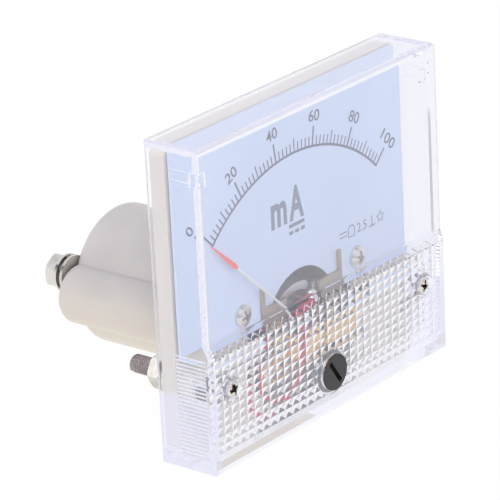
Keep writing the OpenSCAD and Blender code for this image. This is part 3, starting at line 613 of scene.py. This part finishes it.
@dataclass(frozen=True)
class Studio:
    """The floor, the lights and the camera, whose angles are in degrees."""

    azimuth: float = -50.741
    elevation: float = 21.063
    roll: float = -2.93
    distance: float = 596.392 * MM
    aim: tuple[float, float, float] = (0.0, 0.0, 14.4 * MM)
    offset: tuple[float, float] = (-4.053 * MM, -1.233 * MM)
    lens: float = 256.393
    floor_gap: float = 0.05 * MM
    floor_reach: float = 1.5
    floor_glow: float = 1.01
    floor_glow_share: float = 0.95
    lamps: tuple[Lamp, ...] = (Lamp("key_lamp", (-0.35, -0.45, 0.55), 0.35, 1.7),
                               Lamp("fill_lamp", (-0.6, 0.25, 0.3), 0.5, 0.9))
    bounces: int = 40
    clear_bounces: int = 24

    def camera(self) -> None:
        """Sets the camera on the meter's front left, a little above it."""
        turn, tilt, roll = (math.radians(a) for a in (self.azimuth, self.elevation, self.roll))
        back = Vector((math.sin(turn) * math.cos(tilt), -math.cos(turn) * math.cos(tilt),
                       math.sin(tilt)))
        right = (-back).cross(Vector((0, 0, 1))).normalized()
        up = right.cross(-back)
        across = math.cos(roll) * right + math.sin(roll) * up
        upward = math.cos(roll) * up - math.sin(roll) * right
        place = (Vector(self.aim) + back * self.distance + across * self.offset[0]
                 + upward * self.offset[1])
        data = bpy.data.cameras.new("camera")
        data.lens = self.lens
        data.sensor_width = 36.0
        data.clip_start = 0.01
        camera = bpy.data.objects.new("camera", data)
        camera.matrix_world = Matrix.Translation(place) @ Matrix(
            (across, upward, back)).transposed().to_4x4()
        bpy.context.scene.collection.objects.link(camera)
        bpy.context.scene.camera = camera

    def floor(self) -> None:
        """Lays a white floor just under the cover's lower edge."""
        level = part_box("front_cover")[0].z - self.floor_gap
        corners = [(x * self.floor_reach, y * self.floor_reach, level)
                   for x, y in ((-1, -1), (1, -1), (1, 1), (-1, 1))]
        mesh = bpy.data.meshes.new("floor")
        mesh.from_pydata(corners, [], [(0, 1, 2, 3)])
        tree = SurfaceTree("floor_paper")
        paper = tree.shader("BsdfPrincipled", Base_Color=(0.9, 0.9, 0.9), Roughness=0.9)
        glow = tree.shader("Emission", Color=(1.0, 1.0, 1.0), Strength=self.floor_glow)
        mesh.materials.append(tree.finish(tree.layer(self.floor_glow_share, paper, glow)))
        floor = bpy.data.objects.new("floor", mesh)
        bpy.context.scene.collection.objects.link(floor)

    def light_paths(self) -> None:
        """Lets light bounce often enough to pass through the cover's prisms."""
        paths = bpy.context.scene.cycles
        paths.max_bounces = self.bounces
        paths.transmission_bounces = self.bounces
        paths.glossy_bounces = self.bounces
        paths.transparent_max_bounces = self.clear_bounces

    def build(self) -> None:
        """Builds the whole studio."""
        bpy.context.scene.view_settings.view_transform = "Standard"
        self.light_paths()
        self.camera()
        Surround().build()
        self.floor()
        for lamp in self.lamps:
            lamp.build(Vector(self.aim))


# --------------------------------------------------------------------------- geometry nodes


def evaluated(carrier: bpy.types.Object, name: str) -> bpy.types.Mesh:
    """Turns a helper object into a plain mesh and removes the object.

    Args:
        carrier: an object in the scene, with its modifier or its text.
        name: the mesh's name.

    Returns:
        The mesh.
    """
    graph = bpy.context.evaluated_depsgraph_get()
    graph.update()
    mesh = bpy.data.meshes.new_from_object(carrier.evaluated_get(graph))
    mesh.name = name
    bpy.data.objects.remove(carrier)
    return mesh


class NodeGroup(NodeTree):
    """A Geometry Nodes group with named inputs, which turns a base mesh into a finished one."""

    prefix: ClassVar[str] = "GeometryNode"

    def __init__(self, name: str, **inputs: str) -> None:
        """Starts the group.

        Args:
            name: the group's name.
            inputs: each input's name, with underscores for spaces, and its socket type.
        """
        super().__init__(bpy.data.node_groups.new(name, "GeometryNodeTree"))
        face = self.tree.interface
        for side in ("OUTPUT", "INPUT"):
            face.new_socket("Geometry", in_out=side, socket_type="NodeSocketGeometry")
        self.sockets: dict[str, str] = {}
        for key, kind in inputs.items():
            socket = face.new_socket(key.replace("_", " "), in_out="INPUT",
                                     socket_type="NodeSocket" + kind)
            self.sockets[key] = socket.identifier
        self.source = self.tree.nodes.new("NodeGroupInput")
        self.sink = self.tree.nodes.new("NodeGroupOutput")

    def given(self, key: str) -> bpy.types.NodeSocket:
        """Returns the output that carries one named input."""
        return self.source.outputs[key.replace("_", " ")]

    def sweep(self, path: bpy.types.NodeSocket, profile: bpy.types.NodeSocket) -> None:
        """Sweeps an upright profile along a path, which ends the group.

        Args:
            path: the curve to follow.
            profile: the curve to sweep.
        """
        upright = self.add("SetCurveNormal", Curve=path)
        upright.mode = "Z_UP"
        swept = self.add("CurveToMesh", Curve=upright.outputs[0], Profile_Curve=profile,
                         Fill_Caps=True)
        solid = self.add("RealizeInstances", Geometry=swept.outputs[0])
        coated = self.add("SetMaterial", Geometry=solid.outputs[0],
                          Material=self.given("Material"))
        self.feed(self.sink.inputs[0], coated.outputs[0])

    def run(self, name: str, base: bpy.types.Mesh, **values: object) -> bpy.types.Mesh:
        """Applies the group to a base mesh.

        Args:
            name: the new mesh's name.
            base: the mesh that the group starts from.
            values: the named inputs.

        Returns:
            The finished mesh.
        """
        carrier = bpy.data.objects.new(name, base)
        bpy.context.scene.collection.objects.link(carrier)
        modifier = carrier.modifiers.new(name, "NODES")
        modifier.node_group = self.tree
        for key, value in values.items():
            modifier[self.sockets[key]] = value
        carrier.update_tag()
        return evaluated(carrier, name)


class InkRibbon(NodeGroup):
    """Sweeps a flat bar along every edge path of a mesh in X and Y."""

    def __init__(self) -> None:
        """Builds the group."""
        super().__init__("ink_ribbon", Width="Float", Height="Float", Material="Material")
        path = self.add("MeshToCurve", Mesh=self.source.outputs[0])
        section = self.add("CurvePrimitiveQuadrilateral", Width=self.given("Width"),
                           Height=self.given("Height"))
        self.sweep(path.outputs[0], section.outputs[0])


class ThreadRidge(NodeGroup):
    """Winds one thread ridge about Z, from Z = 0 upward."""

    points_per_turn: ClassVar[int] = 36

    def __init__(self) -> None:
        """Builds the group."""
        super().__init__("thread_ridge", Radius="Float", Length="Float", Pitch="Float",
                         Ridge="Float", Material="Material")
        turns = self.maths(Maths.DIVIDE, self.given("Length"), self.given("Pitch"))
        spiral = self.add("CurveSpiral", Resolution=self.points_per_turn, Rotations=turns,
                          Start_Radius=self.given("Radius"), End_Radius=self.given("Radius"),
                          Height=self.given("Length"))
        section = self.add("CurvePrimitiveCircle", Resolution=4, Radius=self.given("Ridge"))
        self.sweep(spiral.outputs[0], section.outputs[0])


# -------------------------------------------------------------------------- the fine pieces


def place_piece(name: str, mesh: bpy.types.Mesh, body: str = "case") -> None:
    """Links a finished mesh as a piece that rides on one of the frame's bodies.

    Args:
        name: the piece's name.
        mesh: its mesh, already in its place.
        body: the body that carries it.
    """
    piece = bpy.data.objects.new(name, mesh)
    bpy.context.scene.collection.objects.link(piece)
    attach(piece, body)
    LOG.info("added %s on %s: %d faces", name, body, len(mesh.polygons))


def joined(name: str, meshes: Sequence[bpy.types.Mesh], material: bpy.types.Material
           ) -> bpy.types.Mesh:
    """Joins meshes into one of a single material.

    Args:
        name: the new mesh's name.
        meshes: the meshes.
        material: the material of the whole.

    Returns:
        The new mesh.
    """
    work = bmesh.new()
    for mesh in meshes:
        work.from_mesh(mesh)
    whole = bpy.data.meshes.new(name)
    work.to_mesh(whole)
    work.free()
    whole.materials.append(material)
    return whole


@dataclass(frozen=True)
class Lettering:
    """A run of printed letters and its place on the dial, in millimetres and degrees."""

    text: str
    width: float
    height: float
    x: float
    z: float
    swell: float = 0.0
    turn: float = 0.0


@dataclass(frozen=True)
class Stroke:
    """An inked line through points across and up the dial, in millimetres."""

    points: tuple[Point, ...]
    closed: bool = False

    def moved(self, across: float, up: float) -> "Stroke":
        """Returns the stroke moved across and up."""
        return Stroke(tuple((x + across, z + up) for x, z in self.points), self.closed)


def bar(left: float, right: float, level: float) -> Stroke:
    """Returns a level stroke from left to right."""
    return Stroke(((left, level), (right, level)))


def stroke_paths(strokes: Sequence[Stroke]) -> bpy.types.Mesh:
    """Lays strokes out as edge paths in X and Y.

    Args:
        strokes: the strokes to follow.

    Returns:
        A mesh of points and edges alone, in metres.
    """
    points: list[tuple[float, float, float]] = []
    edges: list[tuple[int, int]] = []
    for stroke in strokes:
        first = len(points)
        points.extend((x * MM, z * MM, 0.0) for x, z in stroke.points)
        edges.extend((point, point + 1) for point in range(first, len(points) - 1))
        if stroke.closed:
            edges.append((len(points) - 1, first))
    mesh = bpy.data.meshes.new("paths")
    mesh.from_pydata(points, edges, [])
    return mesh


class DialMark(Protocol):
    """Print that is made of letters and strokes."""

    stroke_w: float

    def letters(self) -> list[Lettering]:
        """Returns all that is set in letters."""

    def strokes(self) -> list[Stroke]:
        """Returns all that is drawn in strokes."""


@dataclass(frozen=True)
class UnitMark:
    """The unit's letters, with the direct-current bar and dashes under them, in millimetres."""

    prefix: Lettering = Lettering("m", 4.2, 4.35, -4.8, 21.9, swell=0.03)
    unit: Lettering = Lettering("A", 3.9, 6.0, -0.05, 22.7, swell=0.03)
    bar_span: Span = (-2.25, 1.92)
    bar_level: float = 18.94
    dash_spans: tuple[Span, ...] = ((-2.25, -1.2), (-0.7, 0.35), (0.9, 1.9))
    dash_level: float = 17.7
    stroke_w: float = 0.6

    def letters(self) -> list[Lettering]:
        """Returns the unit's letters."""
        return [self.prefix, self.unit]

    def strokes(self) -> list[Stroke]:
        """Returns the bar and the dashes."""
        dashes = [bar(*span, self.dash_level) for span in self.dash_spans]
        return [bar(*self.bar_span, self.bar_level), *dashes]


@dataclass(frozen=True)
class SymbolRow:
    """The row of instrument symbols at the dial's lower right, in millimetres.

    From the left: direct current, the moving coil, the grade's figures, upright mounting and
    the test star.
    """

    level: float = 12.7
    current_span: Span = (11.4, 13.3)
    current_rise: float = 0.35
    current_drop: float = 0.4
    dash: float = 0.5
    dash_step: float = 0.7
    arch_x: float = 14.65
    arch_half: float = 0.85
    arch_foot: float = -0.95
    arch_spring: float = 0.25
    arch_rise: float = 0.8
    arch_steps: int = 8
    upright_span: Span = (19.6, 21.4)
    upright_foot: float = -0.85
    upright_top: float = 0.95
    star_x: float = 22.9
    star_tip: float = 1.1
    star_notch: float = 0.5
    grade: str = "2.5"
    grade_x: float = 17.6
    grade_w: float = 2.7
    grade_h: float = 1.7
    stroke_w: float = 0.22

    def letters(self) -> list[Lettering]:
        """Returns the grade's figures."""
        return [Lettering(self.grade, self.grade_w, self.grade_h, self.grade_x, self.level)]

    def current(self) -> list[Stroke]:
        """Returns the direct-current bar over its three dashes."""
        left, right = self.current_span
        starts = [left + step * self.dash_step for step in range(3)]
        dashes = [bar(start, start + self.dash, self.level - self.current_drop)
                  for start in starts]
        return [bar(left, right, self.level + self.current_rise), *dashes]

    def arch(self) -> Stroke:
        """Returns the moving coil's magnet, a closed arch."""
        turns = [math.pi * step / self.arch_steps for step in range(self.arch_steps + 1)]
        over = [(-self.arch_half * math.cos(turn),
                 self.arch_spring + self.arch_rise * math.sin(turn)) for turn in turns]
        left_foot, right_foot = ((side * self.arch_half, self.arch_foot) for side in (-1, 1))
        return Stroke((left_foot, *over, right_foot), True).moved(self.arch_x, self.level)

    def upright(self) -> list[Stroke]:
        """Returns the mark of a meter that stands upright."""
        left, right = self.upright_span
        middle = (left + right) / 2
        foot, top = (self.level + rise for rise in (self.upright_foot, self.upright_top))
        return [bar(left, right, foot), Stroke(((middle, foot), (middle, top)))]

    def star(self) -> Stroke:
        """Returns the outline of a five-pointed star."""
        points = []
        for corner in range(10):
            reach = self.star_tip if corner % 2 == 0 else self.star_notch
            turn = math.pi * corner / 5
            points.append((reach * math.sin(turn), reach * math.cos(turn)))
        return Stroke(tuple(points), True).moved(self.star_x, self.level)

    def strokes(self) -> list[Stroke]:
        """Returns all that is drawn in strokes."""
        return [*self.current(), self.arch(), *self.upright(), self.star()]


@dataclass(frozen=True)
class DialPrint:
    """The figures, the unit and the symbols printed on the dial plate.

    The figures are laid out in millimetres and degrees.
    """

    ink: bpy.types.Material
    pale_ink: bpy.types.Material
    face_y: float = DIAL_FACE_Y
    thickness: float = 0.03 * MM
    figures: tuple[str, ...] = ("0", "20", "40", "60", "80", "100")
    figure_r: float = 36.6
    figure_h: float = 2.0
    figure_swell: float = 0.008
    half_sweep: float = 45.0
    digit_w: float = 1.4
    digit_gap: float = 0.1
    unit: UnitMark = UnitMark()
    symbols: SymbolRow = SymbolRow()

    def stand(self, mesh: bpy.types.Mesh, x: float = 0.0, z: float = 0.0, turn: float = 0.0
              ) -> bpy.types.Mesh:
        """Sets flat print upright on the dial.

        Args:
            mesh: print that lies in X and Y.
            x: how far it goes across, in millimetres.
            z: how far it goes up, in millimetres.
            turn: how far it turns clockwise, in degrees.

        Returns:
            The same mesh.
        """
        mesh.transform(Matrix.Translation((x * MM, self.face_y - self.thickness / 2, z * MM))
                       @ Matrix.Rotation(math.radians(turn), 4, "Y")
                       @ Matrix.Rotation(math.radians(90), 4, "X"))
        return mesh

    def letters(self, lettering: Lettering) -> bpy.types.Mesh:
        """Prints a run of letters.

        Args:
            lettering: the letters, their size and their place.

        Returns:
            Their mesh, in its place on the dial.
        """
        curve = bpy.data.curves.new(lettering.text, "FONT")
        curve.body = lettering.text
        curve.resolution_u = 4
        curve.offset = lettering.swell
        # Any depth does here, because it is scaled to the ink's thickness below.
        curve.extrude = 0.05
        carrier = bpy.data.objects.new(lettering.text, curve)
        bpy.context.scene.collection.objects.link(carrier)
        mesh = evaluated(carrier, lettering.text)
        low, high = (Vector([pick(v.co[i] for v in mesh.vertices) for i in range(3)])
                     for pick in (min, max))
        size = high - low
        mesh.transform(Matrix.Diagonal((lettering.width * MM / size.x,
                                        lettering.height * MM / size.y,
                                        self.thickness / size.z, 1))
                       @ Matrix.Translation(-(low + high) / 2))
        return self.stand(mesh, lettering.x, lettering.z, lettering.turn)

    def add_figures(self) -> None:
        """Prints the scale's figures along its arc."""
        step = 2 * self.half_sweep / (len(self.figures) - 1)
        meshes = []
        for index, text in enumerate(self.figures):
            turn = index * step - self.half_sweep
            width = self.digit_w * len(text) + self.digit_gap * (len(text) - 1)
            x = self.figure_r * math.sin(math.radians(turn))
            z = self.figure_r * math.cos(math.radians(turn))
            meshes.append(self.letters(
                Lettering(text, width, self.figure_h, x, z, self.figure_swell, turn)))
        place_piece("scale_figures", joined("scale_figures", meshes, self.ink))

    def add_mark(self, name: str, mark: DialMark, ribbon: InkRibbon) -> None:
        """Prints a mark's letters and strokes in the paler ink.

        Args:
            name: the piece's name.
            mark: what is printed.
            ribbon: the group that draws strokes.
        """
        meshes = [self.letters(lettering) for lettering in mark.letters()]
        lines = ribbon.run(name + "_strokes", stroke_paths(mark.strokes()),
                           Width=mark.stroke_w * MM, Height=self.thickness,
                           Material=self.pale_ink)
        place_piece(name, joined(name, [*meshes, self.stand(lines)], self.pale_ink))

    def build(self) -> None:
        """Prints everything."""
        ribbon = InkRibbon()
        self.add_figures()
        self.add_mark("unit_mark", self.unit, ribbon)
        self.add_mark("dial_symbols", self.symbols, ribbon)


@dataclass(frozen=True)
class StudThreads:
    """The threads on the free ends of a mirrored pair of studs, beyond their nuts."""

    name: str
    studs: str
    nuts: str
    widest_r: float
    tip: float
    radius: float = 1.41 * MM
    pitch: float = 0.5 * MM
    ridge: float = 0.17 * MM
    nut_gap: float = 0.1 * MM

    def build(self, group: ThreadRidge, material: bpy.types.Material) -> None:
        """Winds both threads.

        Args:
            group: the group that winds a ridge.
            material: the threads' material.
        """
        low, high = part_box(self.studs)
        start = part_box(self.nuts)[1].y + self.nut_gap
        side = high.x - self.widest_r
        ridges = []
        for x in (-side, side):
            ridge = group.run(self.name, bpy.data.meshes.new("start"), Radius=self.radius,
                              Length=high.y - self.tip - start, Pitch=self.pitch,
                              Ridge=self.ridge, Material=material)
            ridge.transform(Matrix.Translation((x, start, (low.z + high.z) / 2))
                            @ Matrix.Rotation(math.radians(-90), 4, "X"))
            ridges.append(ridge)
        place_piece(self.name, joined(self.name, ridges, material))


STUD_THREADS = (
    StudThreads("mounting_threads", "mounting_studs", "mounting_nuts",
                widest_r=2.0 * MM, tip=0.3 * MM),
    StudThreads("terminal_threads", "terminal_studs", "terminal_nuts",
                widest_r=1.45 * MM, tip=0.25 * MM),
)


@dataclass(frozen=True)
class SolderBead:
    """The bead of solder that holds the red lead beside the foot of the yoke's clip."""

    radius: float = 0.95 * MM
    wider: float = 1.15
    flatter: float = 0.75
    lumps: float = 0.08
    lump_waves: Span = (2400.0, 2100.0)
    x: float = 2.35 * MM
    z: float = 5.5 * MM
    ahead: float = 0.55 * MM

    def build(self, material: bpy.types.Material) -> None:
        """Adds the bead.

        Args:
            material: the solder.
        """
        work = bmesh.new()
        bmesh.ops.create_icosphere(work, subdivisions=4, radius=self.radius)
        for vert in work.verts:
            vert.co.x *= self.wider
            vert.co.y *= self.flatter
            swell = (math.sin(self.lump_waves[0] * vert.co.x)
                     * math.cos(self.lump_waves[1] * vert.co.z))
            vert.co *= 1 + self.lumps * swell
        work.normal_update()
        bead = bpy.data.meshes.new("solder_bead")
        work.to_mesh(bead)
        work.free()
        bead.shade_smooth()
        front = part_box("yoke_clip")[0].y
        bead.transform(Matrix.Translation((self.x, front - self.ahead, self.z)))
        bead.materials.append(material)
        place_piece("solder_bead", bead)


# ------------------------------------------------------------------------------------ build


def dress_nodes() -> None:
    """Gives every CAD node its finish."""
    built: dict[str, bpy.types.Material] = {}
    for node, finish in NODE_FINISH.items():
        if finish.name not in built:
            built[finish.name] = finish.build()
        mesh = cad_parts[node].data
        mesh.materials.clear()
        mesh.materials.append(built[finish.name])
        LOG.info("dressed %s in %s", node, finish.name)


def main() -> None:
    """Builds the scene."""
    logging.basicConfig(level=logging.INFO, format="%(message)s")
    Studio().build()
    dress_nodes()
    DialPrint(SCALE_INK.build(), PALE_INK.build()).build()
    ridge, steel = ThreadRidge(), THREAD.build()
    for threads in STUD_THREADS:
        threads.build(ridge, steel)
    SolderBead().build(SOLDER.build())


if __name__ == "__main__":
    main()
